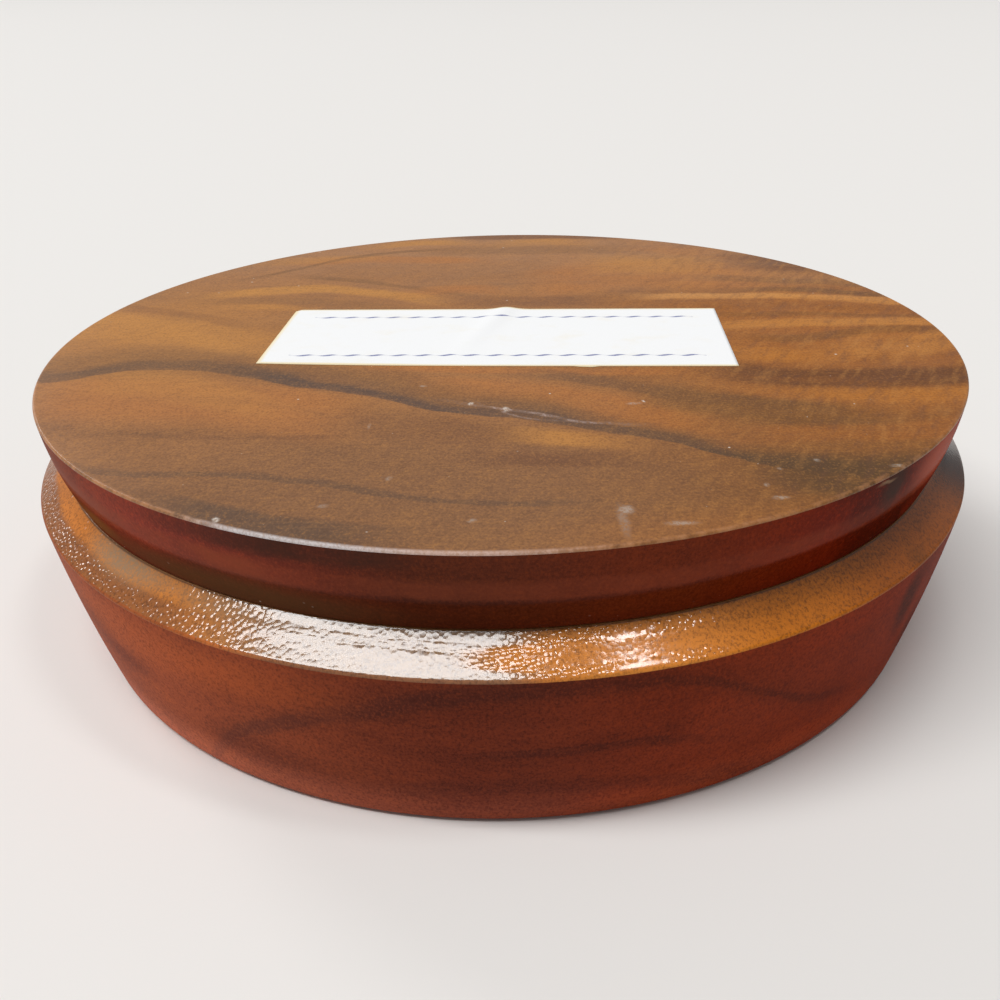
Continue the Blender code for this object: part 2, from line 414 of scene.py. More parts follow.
# Bands and lumps on the base's side, over its own figure, with paths as along: up. The red bands and the
# orange, olive and rose lumps are painted reflections
BASE_SIDE_BAND_SHARES = [
    (SIDE_RED_REFLECTION, 0.75, 3.5, 2.5, {-100: 49, -60: 49, -35: 48.7}),
    (SIDE_RED_REFLECTION, 0.35, 3, 2.2, {-45: 48.7, 0: 48.4, 40: 48.4, 100: 48.4}),
    (SIDE_DARK, 0.5, 3, 3, {-64: 55.2, -45: 54.5, -20: 55}),
    (SIDE_DARK, 0.6, 3, 3, {-42: 54.5, -30: 54.3, -15: 55}),
]
BASE_SIDE_LUMP_SHARES = [
    (SIDE_ORANGE_REFLECTION, 0.8, (-74, -66, 43.5), (7, 20, 3)),
    (SIDE_OLIVE_REFLECTION, 0.75, (-46, -86, 42.5), (32, 40, 5)),
    (SIDE_ROSE_REFLECTION, 0.85, (79, -60, 52), (11, 20, 6)),
    (SIDE_DARK, 0.9, (65.5, -75.5, 53), (4, 6, 5.5)),
    (DUSTY_LEDGE, 0.6, (63.2, -77.7, 54.8), (2.8, 4, 0.5)),
]

# Where each of these begins and where it is full: the painted shade and reflection low on the base's
# side, at its waist, and the dust and painted reflection at the lid's foot, in height, the seam's dust
# along the grain, and the face's tint across it
BASE_SIDE_LOW_SHADE_SHARES = (47.4, 46.2)
LID_FOOT_DUST_AND_SHEEN_SHARES = (11, 2)
DUSTY_SEAM_SHARES = (-20, -45)
FACE_TINT_SHARES = (45, 15)

# Bands of the lid's block, which its side and ledge cut, with paths as along: up
ARCH_SHARES = {-52: 6, -47: 14, -39: 19.5, -31: 24.3, -19: 28.9, -9: 31.8, 10: 33.5, 25: 32.5}
LID_BAND_SHARES = [
    (UMBER, 0.35, 6, 4.5, {**ARCH_SHARES, 33: 30, 41: 25, 50.5: 18, 61: 13}),
    (HEARTWOOD, 0.5, 2.8, 2.8, ARCH_SHARES),
    (HEARTWOOD, 0.5, 1.2, 2, {20: 33, 33: 30, 41: 25, 50.5: 18, 61: 13}),
    (HEARTWOOD, 0.45, 1.2, 2, {-5: 18.5, 10: 19, 25: 18.5, 33: 16}),
    (HEARTWOOD, 0.3, 3, 3, {-20: 8, 5: 10, 30: 6, 50: 2}),
]

# Lumps of other wood in the lid's block: colour, strength, centre and half size
LID_LUMP_SHARES = [
    (GOLD, 0.5, (-62, -75, 28), (42, 40, 7)),
    (GOLD, 0.35, (-40, -93, 29), (20, 30, 5)),
    (PLUM, 0.5, (-72, -72, 19), (10, 12, 3.5)),
    (PLUM, 0.45, (-45, -92, 10), (14, 20, 5)),
    (ORANGE, 0.4, (56, -85, 31), (16, 20, 3)),
    (ORANGE, 0.4, (18, -97, 5), (10, 20, 3)),
    (ORANGE, 0.4, (56, -82, 5), (14, 20, 3)),
    (HEARTWOOD, 0.9, (73.5, -69, 27), (4, 5, 11)),
    (HEARTWOOD, 0.9, (80, -61, 12), (4, 6, 10)),
    (SIDE_DARK, 0.95, (98, -30, 38), (17, 24, 8)),
    (HEARTWOOD, 0.15, (-35, -90, 10), (22, 30, 7)),
]

# Patches of dust on the ledge, in the same terms
LEDGE_DUST_SHARES = [
    (DUSTY_LEDGE, 0.95, (-67, -70, 39), (15, 15, 2.2)),
    (DUSTY_LEDGE, 0.4, (-50, -85, 39), (14, 12, 1.5)),
]

# Where the ledge's drops lie flat, as places along the grain and up, and how flat they lie
CALM_SHARES = (-60, -32, -2, 8)
CALM_FLATNESS = 0.8
MATT_SHARES = (24, 42)
MATT_FLATNESS = 0.95
DULL_LEFT_SHARES = (-46, -60)
DULL_HEIGHT_SHARES = (37.1, 38.1)
DULL_WANDER_SHARE = 1.4

# In the middle of the slope the calm part ends this much sooner, and right of it they lie low
MIDDLE_UP_SHARES = (35.8, 36.6, 38, 38.8)
WEDGE_SHARE = 7.5
FLOWED_RIGHT_SHARES = (0, 12)
FLOWED_FLATNESS = 0.9

# At the right the ledge is pitted, and darker in patches on its inner part, by height. All of it is
# partly golden, and the lip is redder at the left
LEDGE_INNER_SHARES = (36.6, 38.6)
LEDGE_RIGHT_SHARES = (20, 50)
PITTED_SHARES = (10, 40)
GOLDEN_PART = 0.55
LIP_TINT_SHARES = (15, -10)

# Smooth patches among the drops at the right: strength, centre and half size
GLINT_LUMP_SHARES = [
    (1, (20.5, -98, 35.7), (8, 20, 1.1)),
    (0.9, (18.5, -95, 38.7), (6, 20, 0.8)),
]

# A band along the ledge where the lacquer drew into fine lines, half as high as the drops:
# strength, reach and path
LINE_HEIGHT = 0.5
DRAWN_BAND_SHARES = (1, 0.6, 0.8, {-34: 38.5, -20: 38.4, -6: 38.2, 6: 37.6})

# The face's rim carries a painted highlight, white between four places along the grain and in front of
# two across it; the painted white turns pink, and elsewhere the rim is rubbed tan, most at the left
RIM_HIGHLIGHT_SHARES = (-54, -40, -4, 20)
FRONT_RIM_HIGHLIGHT_SHARES = (-40, -70)
PINK_RIM_HIGHLIGHT_SHARES = (-28, -8)
TAN_RIM_SHARES = (95, 10)


class Graph:
    """Short calls that add a material's nodes and join them."""

    def __init__(self, name):
        self.material = bpy.data.materials.new(name)
        self.material.use_nodes = True
        self.tree = self.material.node_tree
        self.shader = self.tree.nodes["Principled BSDF"]

    def feed(self, socket, value):
        if isinstance(value, bpy.types.NodeSocket):
            self.tree.links.new(value, socket)
        else:
            socket.default_value = (*value, 1) if socket.type == "RGBA" else value

    def node(self, kind, values=(), **settings):
        made = self.tree.nodes.new("ShaderNode" + kind)
        for name, setting in settings.items():
            setattr(made, name, setting)
        for name, value in dict(values).items():
            self.feed(made.inputs[name], value)
        return made

    def math(self, operation, first, second=0.0, third=0.0):
        values = {0: first, 1: second, 2: third}
        return self.node("Math", values, operation=operation).outputs[0]

    def scaled(self, value, factor, added):
        return self.math("MULTIPLY_ADD", value, factor, added)

    def chain(self, operation, values):
        result = values[0]
        for value in values[1:]:
            result = self.math(operation, result, value)
        return result

    def product(self, *values):
        return self.chain("MULTIPLY", values)

    def sum(self, *values):
        return self.chain("ADD", values)

    def largest(self, *values):
        return self.chain("MAXIMUM", values)

    def vector(self, operation, first, second=(0, 0, 0)):
        made = self.node("VectorMath", {0: first, 1: second}, operation=operation)
        return made.outputs["Value" if operation == "LENGTH" else "Vector"]

    def parts(self, vector):
        return self.node("SeparateXYZ", {0: vector}).outputs

    def joined(self, x, y, z):
        return self.node("CombineXYZ", {0: x, 1: y, 2: z}).outputs[0]

    def noise(self, place, size, detail=2.0, roughness=0.5):
        """Noise from 0 to 1 whose features have this size along X, Y and Z."""
        place = self.vector("DIVIDE", place, size)
        values = {"Vector": place, "Scale": 1.0, "Detail": detail, "Roughness": roughness}
        return self.node("TexNoise", values).outputs[0]

    def sway(self, place, size, reach, detail=2.0):
        """Noise that swings by half this reach to either side of 0."""
        return self.product(self.math("SUBTRACT", self.noise(place, size, detail), 0.5), reach)

    def smooth(self, value, low, high, from_level=0.0, to_level=1.0):
        """A smooth step from one level to another as value goes from low to high."""
        values = {0: value, 1: low, 2: high, 3: from_level, 4: to_level}
        return self.node("MapRange", values, interpolation_type="SMOOTHSTEP").outputs[0]

    def window(self, value, low, full_low, full_high, high):
        """1 between two inner places, and 0 outside the outer ones."""
        return self.product(self.smooth(value, low, full_low), self.smooth(value, high, full_high))

    def patches(self, place, size, low, high, least, detail=3.0, roughness=0.7):
        """A broken mask, from its least level to 1, made of noise."""
        return self.smooth(self.noise(place, size, detail, roughness), low, high, least)

    def cells(self, place, spacing_mm):
        """Scattered points: the distance from each, and a colour drawn for it."""
        values = {"Vector": self.vector("DIVIDE", place, (spacing_mm,) * 3), "Scale": 1.0}
        return self.node("TexVoronoi", values).outputs

    def mix(self, amount, first, second, blend="MIX"):
        values = {0: amount, 6: first, 7: second}
        return self.node("Mix", values, data_type="RGBA", blend_type=blend).outputs[2]

    def tinted(self, base, tint, amount=1.0):
        return self.mix(amount, base, tint, "MULTIPLY")

    def between(self, along, stops):
        """A colour that changes smoothly from stop to stop along the grain."""
        start, result = stops[0]
        for end, shade in stops[1:]:
            result = self.mix(self.smooth(along, start, end), result, shade)
            start = end
        return result

    def curve(self, share, path):
        """A curve through places in shares, read and given from 0 to 1 across the face."""
        made = self.node("FloatCurve", {"Value": share})
        line = made.mapping.curves[0]
        places = [(x / RADIUS_SHARE / 2 + 0.5, y / RADIUS_SHARE / 2 + 0.5) for x, y in path.items()]
        line.points[0].location = places[0]
        line.points[1].location = places[-1]
        for place in places[1:-1]:
            line.points.new(*place)
        made.mapping.update()
        return made.outputs[0]

    def bump(self, height, distance_mm):
        values = {"Height": height, "Distance": distance_mm * MM}
        return self.node("Bump", values).outputs[0]

    def finish(self, **values):
        for name, value in values.items():
            self.feed(self.shader.inputs[name.replace("_", " ")], value)
        return self.material


def run_of(points, start, end, bow, steps):
    """Adds the places of a run that is bowed to its right by this much at its middle."""
    start = Vector(start)
    run = Vector(end) - start
    right = Vector((run.y, -run.x)).normalized()
    for step in range(1, steps):
        share = step / steps
        place = start + run * share + right * bow * 4 * share * (1 - share)
        points.append((place.x, place.y))


def rounded_corner(before, corner, after, radius, steps):
    """The arc of this radius that rounds a corner between two straight runs."""
    corner = Vector(corner)
    to_before = (Vector(before) - corner).normalized()
    to_after = (Vector(after) - corner).normalized()
    half_angle = to_before.angle(to_after) / 2
    bisector = (to_before + to_after).normalized()
    centre = corner + bisector * radius / math.sin(half_angle)
    first = corner + to_before * radius / math.tan(half_angle) - centre
    sweep = first.angle_signed(-bisector) * 2
    points = []
    for step in range(steps + 1):
        turn = -sweep * step / steps
        across = first.x * math.cos(turn) - first.y * math.sin(turn)
        up = first.x * math.sin(turn) + first.y * math.cos(turn)
        points.append((centre.x + across, centre.y + up))
    return points


def outline(corners):
    """Rounds and bows a chain of corners, and says which finish each stretch has.

    Each corner is (radius, height), the radius of its arc, its steps and its finish, and
    then the finish, the bow and the steps of the run that leaves it.
    """
    arcs = []
    for index, corner in enumerate(corners):
        place, radius, steps = corner[:3]
        if radius > 0:
            before = corners[index - 1][0]
            after = corners[index + 1][0]
            arcs.append(rounded_corner(before, place, after, radius, steps))
        else:
            arcs.append([place])
    points = []
    finishes = []
    for index, arc in enumerate(arcs):
        points += arc
        finishes += [corners[index][3]] * (len(arc) - 1)
        if index + 1 < len(arcs):
            finish, bow, steps = corners[index][4:]
            run_of(points, arc[-1], arcs[index + 1][0], bow, steps)
            finishes += [finish] * steps
    return points, finishes


def placed(name, data):
    """A new object in the scene."""
    made = bpy.data.objects.new(name, data)
    bpy.context.collection.objects.link(made)
    return made


def smooth_piece(name, shape, materials):
    mesh = bpy.data.meshes.new(name)
    shape.to_mesh(mesh)
    shape.free()
    mesh.shade_smooth()
    for material in materials:
        mesh.materials.append(material)
    return placed(name, mesh)


def turned_piece(name, corners, materials):
    """Turns an outline that starts and ends on the axis, with a material for each finish."""
    points, finishes = outline(corners)
    slots = list(materials)
    shape = bmesh.new()
    rings = []
    for radius, height in points:
        steps = TURN_STEPS if radius > 0 else 1
        turns = [math.tau * step / TURN_STEPS for step in range(steps)]
        rings.append(
            [shape.verts.new((radius * math.cos(a), radius * math.sin(a), height)) for a in turns]
        )
    for first, second, finish in zip(rings, rings[1:], finishes):
        for step in range(TURN_STEPS):
            after = (step + 1) % TURN_STEPS
            corners_round = [first[step % len(first)], first[after % len(first)]]
            corners_round += [second[after % len(second)], second[step % len(second)]]
            face = shape.faces.new(list(dict.fromkeys(corners_round)))
            face.material_index = slots.index(finish)
    bmesh.ops.recalc_face_normals(shape, faces=shape.faces[:])
    piece = smooth_piece(name, shape, materials.values())
    piece.data.set_sharp_from_angle(angle=SHARP_ANGLE)
    return piece


def lid_corners():
    lip = Vector((LIP_RADIUS, LIP_HEIGHT))
    waist = Vector((WAIST_RADIUS, WAIST_HEIGHT))
    inward = Vector((lip.y - waist.y, waist.x - lip.x)).normalized()
    ledge_break = lip.lerp(waist, LEDGE_OUTER_SHARE) + inward * LEDGE_BREAK_DEPTH
    inside = ("inside", "inside", 0, FLAT_STEPS)
    outer_ledge = ("lip", "ledge", -LEDGE_OUTER_HOLLOW, BOW_STEPS)
    inner_ledge = ("ledge", "ledge", -LEDGE_INNER_HOLLOW, BOW_STEPS)
    return [
        ((0, 0), 0, 0, "hidden", "hidden", 0, FLAT_STEPS),
        ((LID_TOP_RADIUS, 0), LID_TOP_ROUND, ROUND_STEPS, "side", "side", LID_SIDE_CROWN, BOW_STEPS),
        (tuple(lip), LIP_ROUND, ROUND_STEPS, *outer_ledge),
        (tuple(ledge_break), LEDGE_BREAK_ROUND, ROUND_STEPS, *inner_ledge),
        (tuple(waist), WAIST_ROUND, ROUND_STEPS, *inside),
        ((HOLLOW_RADIUS, WAIST_HEIGHT), MOUTH_ROUND, ROUND_STEPS, *inside),
        ((HOLLOW_RADIUS, LID_TOP_THICKNESS), LID_HOLLOW_ROUND, HOLLOW_STEPS, *inside),
        ((0, LID_TOP_THICKNESS), 0, 0, "inside"),
    ]


def base_corners():
    floor = BOX_HEIGHT - BASE_FLOOR_THICKNESS
    shoulder = WAIST_HEIGHT + VISIBLE_SEAM
    inside = ("inside", "inside", 0, FLAT_STEPS)
    return [
        ((0, floor), 0, 0, *inside),
        ((TRAY_RADIUS, floor), TRAY_ROUND, HOLLOW_STEPS, *inside),
        ((TRAY_RADIUS, SPIGOT_END_HEIGHT), SPIGOT_ROUND, ROUND_STEPS, *inside),
        ((SPIGOT_RADIUS, SPIGOT_END_HEIGHT), SPIGOT_ROUND, ROUND_STEPS, *inside),
        ((SPIGOT_RADIUS, shoulder), 0, 0, *inside),
        ((WAIST_RADIUS, shoulder), WAIST_ROUND, ROUND_STEPS, "side", "side", BASE_SIDE_CROWN, BOW_STEPS),
        ((BASE_RADIUS, BOX_HEIGHT), BASE_RIM_ROUND, ROUND_STEPS, "face", "face", 0, FLAT_STEPS),
        ((0, BOX_HEIGHT), 0, 0, "face"),
    ]


def new_material(name):
    """A graph, and the place in the block of wood in millimetres: X along the grain, Y across."""
    graph = Graph(name)
    place = graph.node("TexCoord").outputs["Object"]
    return graph, graph.vector("DIVIDE", place, (MM,) * 3)


def plain_figure(graph, place, contrast):
    """Soft bands of brown and tan that run along the grain, under clouds."""
    tone = 0.0
    for size, detail, roughness, weight in FIGURE_LAYERS:
        tone = graph.scaled(graph.noise(place, size, detail, roughness), weight, tone)
    tone = graph.scaled(graph.math("SUBTRACT", tone, 0.5), contrast, 0.5)
    base = UMBER
    for start, full, shade in FIGURE_SHADES:
        base = graph.mix(graph.smooth(tone, start, full), base, shade)
    return base


class Spot:
    """A place in the block, as shares, in the forms that bands and lumps read."""

    def __init__(self, graph, place, across_part=1):
        shares = graph.parts(graph.vector("DIVIDE", place, (SHARE_MM,) * 3))
        self.graph = graph
        self.along = shares[0]
        self.across = shares[across_part]
        self.up = shares[2]
        self.along_level = graph.scaled(shares[0], 0.5 / RADIUS_SHARE, 0.5)
        self.across_above = graph.sum(shares[across_part], RADIUS_SHARE)
        self.flat = graph.joined(shares[0], shares[1], 0)
        self.solid = graph.joined(*shares)

    def band(self, strength, above, below, path):
        """Full strength near a path, fading to 0 at its reach to each side and at its ends."""
        graph = self.graph
        curve = graph.curve(self.along_level, path)
        offset = graph.scaled(curve, -2 * RADIUS_SHARE, self.across_above)
        upper = graph.smooth(offset, above, above * BAND_CORE_SHARE, 0.0, strength)
        sides = [upper, graph.smooth(offset, -below, -below * BAND_CORE_SHARE)]
        start, end = min(path), max(path)
        if start > -FULL_LENGTH_SHARE:
            sides.append(graph.smooth(self.along, start - END_FADE_SHARE, start + END_FADE_SHARE))
        if end < FULL_LENGTH_SHARE:
            sides.append(graph.smooth(self.along, end + END_FADE_SHARE, end - END_FADE_SHARE))
        return graph.product(*sides)

    def lump(self, strength, centre, half_size):
        """Full strength in the middle of an ellipse or ellipsoid, fading past its surface."""
        graph = self.graph
        place = self.solid
        if len(centre) == 2:
            place, centre, half_size = self.flat, (*centre, 0), (*half_size, 1)
        offset = graph.vector("SUBTRACT", place, centre)
        away = graph.vector("LENGTH", graph.vector("DIVIDE", offset, half_size))
        return graph.smooth(away, LUMP_END_SHARE, LUMP_CORE_SHARE, 0.0, strength)

    def painted(self, base, form, table, mask=1.0):
        """A colour with the bands or the lumps of a table painted over it, one by one."""
        for shade, *row in table:
            base = self.graph.mix(self.graph.product(form(*row), mask), base, shade)
        return base


def face_figure(graph, place):
    """The figure of the block that the base was turned from, band by band."""
    wander = graph.sway(place, *WANDER_MM)
    fray = graph.sway(place, *FRAY_MM)
    under = graph.math("SUBTRACT", graph.parts(place)[2], BOX_HEIGHT / MM)
    lean = graph.product(under, BLOCK_LEAN)
    shift = graph.sum(wander, fray, lean)
    bent = graph.vector("ADD", place, graph.joined(wander, shift, 0))
    spot = Spot(graph, bent)
    reach = graph.smooth(spot.across, *FALL_REACH_SHARES)
    drop = graph.scaled(graph.curve(spot.along_level, FALL_SHARES), -2.0, 1.0)
    fall = graph.product(drop, reach, BASE_RADIUS / MM)
    flowing = graph.vector("ADD", bent, graph.joined(0, fall, 0))
    base = plain_figure(graph, flowing, 1.0)
    # Broad zones of tone, among them a painted sheen at the back and a painted haze in front
    base = spot.painted(base, spot.lump, FACE_ZONE_SHARES)
    breaks = graph.patches(flowing, *FIGURE_PATCHES)
    base = spot.painted(base, spot.band, FACE_BAND_SHARES, breaks)
    front = graph.smooth(spot.across, *FACE_TINT_SHARES)
    base = graph.tinted(base, graph.between(spot.along, FACE_TINT_STOPS), front)
    return with_curl(graph, base, bent, spot)


def with_curl(graph, base, place, spot):
    """The fine slanting ripple of curly grain, strongest at the right of the face."""
    x, y, z = graph.parts(place)
    slanted = graph.joined(graph.scaled(y, -CURL_SLANT, x), y, z)
    ripple = graph.noise(slanted, CURL_MM)
    reach = graph.smooth(spot.along, *CURL_REACH_SHARES, 0.3)
    for start, full, strength, shade in CURL_LAYERS:
        amount = graph.product(graph.smooth(ripple, start, full, 0.0, strength), reach)
        base = graph.mix(amount, base, shade)
    return base


def lid_figure(graph, place):
    """The figure of the lid's block: dark bands that arch over, and lumps of other wood."""
    wander = graph.sway(place, *WANDER_MM)
    fray = graph.sway(place, *FRAY_MM)
    bent = graph.vector("ADD", place, graph.joined(wander, wander, fray))
    spot = Spot(graph, bent, across_part=2)
    base = plain_figure(graph, bent, 1.1)
    base = spot.painted(base, spot.band, LID_BAND_SHARES)
    return spot.painted(base, spot.lump, LID_LUMP_SHARES)


def with_fibre(graph, base, place, strength=1.0):
    """Fibres, flecks and pores along the grain, over a colour."""
    for size, detail, roughness, start, full, amount, shade in FIBRE_LAYERS:
        level = graph.noise(place, size, detail, roughness)
        base = graph.mix(graph.smooth(level, start, full, 0.0, amount * strength), base, shade)
    return base


def specks(graph, place, spacing_mm, share, largest):
    """Small round dots, a share of them shown, of many sizes up to a part of the spacing."""
    cells = graph.cells(place, spacing_mm)
    chance, size = graph.parts(cells["Color"])[:2]
    shown = graph.smooth(chance, share, share - CHANCE_BLUR)
    edge = graph.product(graph.math("POWER", size, 2.0), largest)
    dot = graph.smooth(graph.math("DIVIDE", cells["Distance"], edge), 1.0, SPECK_CORE_SHARE)
    return graph.product(dot, shown)


def with_wear(graph, base, place):
    """Dust, scratches and rubbed marks on the face."""
    fray = graph.sway(place, *FRAY_MM)
    spot = Spot(graph, graph.vector("ADD", place, graph.joined(fray, fray, 0)))
    broken = graph.patches(place, *MARK_PATCHES)
    skipping = graph.patches(place, *SCRATCH_PATCHES)
    base = spot.painted(base, spot.band, SCRATCH_SHARES, graph.product(broken, skipping))
    base = spot.painted(base, spot.lump, [(DUST, *mark) for mark in MARK_SHARES], broken)
    for spacing_mm, share, largest, strength in DUST_LAYERS:
        dots = specks(graph, place, spacing_mm, share, largest)
        base = graph.mix(graph.product(dots, strength), base, DUST)
    return base


def with_rim_wear_and_highlight(graph, base, place):
    """The arris of the face: a painted highlight, white in front and turning pink, and rubbed tan and
    broken elsewhere.
    """
    spot = Spot(graph, place)
    x, y = graph.parts(place)[:2]
    chips = graph.noise(place, CHIP_MM, 3.0, 0.6)
    edge = graph.scaled(chips, CHIP_REACH_MM, graph.vector("LENGTH", graph.joined(x, y, 0)))
    rim = BASE_RADIUS / MM
    edge_wear_and_highlight = graph.smooth(edge, rim - RIM_WEAR_AND_HIGHLIGHT_WIDTH_MM, rim)
    front = graph.smooth(spot.across, *FRONT_RIM_HIGHLIGHT_SHARES)
    # Painted highlight: white in front, turning pink towards the right
    rim_highlight = graph.product(graph.window(spot.along, *RIM_HIGHLIGHT_SHARES), front, 0.9)
    dashes = graph.smooth(chips, 0.35, 0.6)
    tan = graph.product(dashes, graph.smooth(spot.along, *TAN_RIM_SHARES, 0.4, 0.9))
    wear_and_sheen = graph.mix(graph.smooth(spot.along, *PINK_RIM_HIGHLIGHT_SHARES), RIM_HIGHLIGHT_WHITE, RIM_HIGHLIGHT_PINK)
    shade = graph.mix(rim_highlight, WORN_TAN, wear_and_sheen)
    grain = graph.patches(place, *RIM_PATCHES)
    return graph.mix(graph.product(edge_wear_and_highlight, graph.largest(tan, rim_highlight), grain), base, shade)


def face_wood():
    """The base's face: thin satin lacquer, rubbed, with a worn arris that carries a painted highlight.
    """
    graph, place = new_material("base_face_wood")
    base = with_fibre(graph, face_figure(graph, place), place)
    base = with_wear(graph, base, place)
    base = with_rim_wear_and_highlight(graph, base, place)
    wear_and_sheen = graph.noise(place, CLOUD_MM, 4.0, 0.6)
    relief = graph.bump(graph.noise(place, FIBRE_MM, 3.0, 0.6), FIBRE_HEIGHT_MM)
    satin = graph.smooth(wear_and_sheen, 0.3, 0.7, 0.36, 0.5)
    return graph.finish(Base_Color=base, Roughness=satin, Specular_IOR_Level=0.2, Normal=relief)


def lacquered(graph, base, relief, **coat):
    """Deep gloss: only the coat shines, over wood whose colour carries painted shade and reflections."""
    return graph.finish(
        Base_Color=base, Roughness=0.5, Specular_IOR_Level=0.0, Normal=relief, Coat_Normal=relief, **coat
    )


def side_gloss(graph, base, place):
    """The sides' thin lacquer, with a faint orange peel."""
    relief = graph.bump(graph.noise(place, PEEL_MM), PEEL_HEIGHT_MM)
    return lacquered(graph, base, relief, Coat_Weight=0.12, Coat_Roughness=0.12)


def seam_dust(graph, base, place, near, along):
    """Pale specks that lodge in the line between base and lid, most at the left."""
    dusty = graph.smooth(along, *DUSTY_SEAM_SHARES, 0.15)
    dots = specks(graph, place, SEAM_DUST_SPACING_MM, 0.5, 0.3)
    return graph.mix(graph.product(dots, near, dusty, 0.6), base, DUST)


def base_side_wood():
    graph, place = new_material("base_side_wood")
    fray = graph.sway(place, *FRAY_MM)
    spot = Spot(graph, graph.vector("ADD", place, graph.joined(fray, fray, fray)), across_part=2)
    base = with_fibre(graph, face_figure(graph, place), place, 1.1)
    # Painted shade, with a painted red reflection at the left
    base = graph.tinted(base, graph.between(spot.along, BASE_SIDE_SHADE_AND_REFLECTION_STOPS))
    mottle = graph.patches(place, *SIDE_PATCHES)
    # Painted red reflection in bands along the side
    base = spot.painted(base, spot.band, BASE_SIDE_BAND_SHARES, mottle)
    # Painted shade and reflection, darker low on the side
    low = graph.smooth(spot.across, *BASE_SIDE_LOW_SHADE_SHARES)
    base = graph.tinted(base, BASE_SIDE_LOW_SHADE_TINT, low)
    # Lumps, among them painted reflections in orange, olive and rose
    base = spot.painted(base, spot.lump, BASE_SIDE_LUMP_SHARES)
    near = graph.smooth(graph.parts(place)[2], WAIST_MM + 3 * SEAM_DUST_REACH_MM, WAIST_MM)
    return side_gloss(graph, seam_dust(graph, base, place, near, spot.along), place)


def lid_side_wood():
    graph, place = new_material("lid_side_wood")
    base = with_fibre(graph, lid_figure(graph, place), place, 1.4)
    spot = Spot(graph, place)
    # Painted shade, with a painted pink reflection at the left
    base = graph.tinted(base, graph.between(spot.along, LID_SIDE_SHADE_AND_REFLECTION_STOPS))
    # Dust and a painted reflection, paler and greyer at the foot
    base = graph.tinted(base, LID_FOOT_DUST_AND_SHEEN_TINT, graph.smooth(spot.up, *LID_FOOT_DUST_AND_SHEEN_SHARES))
    return side_gloss(graph, base, place)


def drops(graph, place):
    """Round drops of lacquer that crowd together: 0 between them and 1 on their tops."""
    away = graph.cells(place, DROP_MM)["Distance"]
    dome = graph.scaled(graph.math("POWER", away, 2.0), -DROP_FALL, 1.0)
    return graph.largest(dome, 0.0)


def middle(graph, spot):
    """How near a place is to the middle of the ledge's slope, from 0 to 1."""
    return graph.window(spot.up, *MIDDLE_UP_SHARES)


def calm(graph, spot):
    """How smoothly the lacquer flowed, from 0 to 1: most in front, and less far in the middle."""
    left, full_left, full_right, right = CALM_SHARES
    wedge = graph.scaled(middle(graph, spot), WEDGE_SHARE, spot.along)
    start = graph.smooth(spot.along, left, full_left)
    return graph.product(start, graph.smooth(wedge, right, full_right))


def dull(graph, place, spot):
    """Where the lacquer is thin at the left, on the ledge's inner half: from 0 to 1."""
    up = graph.sum(spot.up, graph.sway(place, CLOUD_MM, DULL_WANDER_SHARE))
    left = graph.smooth(spot.along, *DULL_LEFT_SHARES)
    return graph.product(left, graph.smooth(up, *DULL_HEIGHT_SHARES))


def ledge_figure(graph, place, spot):
    """The ledge's golden wood: darker where drops crowd, pitted at the right, dusty at the left, with a
    painted glow of reflected light in front and painted shade where the highlight falls.
    """
    base = graph.mix(GOLDEN_PART, lid_figure(graph, place), GOLD)
    base = spot.painted(with_fibre(graph, base, place, 1.6), spot.lump, LID_LUMP_SHARES)
    # A painted glow of reflected light, brightest in front
    base = graph.tinted(base, graph.between(spot.along, LEDGE_REFLECTED_GLOW_STOPS))
    left = graph.smooth(spot.along, *DULL_LEFT_SHARES)
    crowd = graph.math("SUBTRACT", left, dull(graph, place, spot))
    base = graph.tinted(base, LEDGE_CROWD_TINT, crowd)
    # Painted shade, darker and cooler, where the highlight falls
    base = graph.tinted(base, LEDGE_UNDER_HIGHLIGHT_TINT, calm(graph, spot))
    mottle = graph.patches(place, *LEDGE_PATCHES)
    right = graph.smooth(spot.along, *LEDGE_RIGHT_SHARES)
    inner = graph.product(graph.smooth(spot.up, *LEDGE_INNER_SHARES), mottle, right)
    base = graph.tinted(base, LEDGE_INNER_TINT, inner)
    pits = specks(graph, place, PIT_SPACING_MM, 0.6, 0.4)
    pitted = graph.smooth(spot.along, *PITTED_SHARES, 0.0, 0.5)
    base = graph.mix(graph.product(pits, pitted), base, PORE)
    grain = graph.patches(place, *DUST_PATCHES)
    return spot.painted(base, spot.lump, LEDGE_DUST_SHARES, grain)


def ledge_drops(graph, place, spot):
    """How high the lacquer's drops stand, from 0 to 1: flat where it ran smooth or was rubbed."""
    thin = graph.largest(dull(graph, place, spot), graph.smooth(spot.along, *MATT_SHARES))
    right = graph.smooth(spot.along, *FLOWED_RIGHT_SHARES)
    flat = graph.largest(
        graph.product(thin, MATT_FLATNESS),
        graph.product(calm(graph, spot), CALM_FLATNESS),
        graph.product(middle(graph, spot), right, FLOWED_FLATNESS),
        *[spot.lump(*patch) for patch in GLINT_LUMP_SHARES],
    )
    crowd = graph.patches(place, *DROP_PATCHES)
    round_drops = graph.product(drops(graph, place), crowd, graph.math("SUBTRACT", 1.0, flat))
    drawn = Spot(graph, place, across_part=2).band(*DRAWN_BAND_SHARES)
    lines = graph.product(graph.noise(place, DRAWN_MM, 1.0), drawn, LINE_HEIGHT)
    return graph.sum(round_drops, lines)


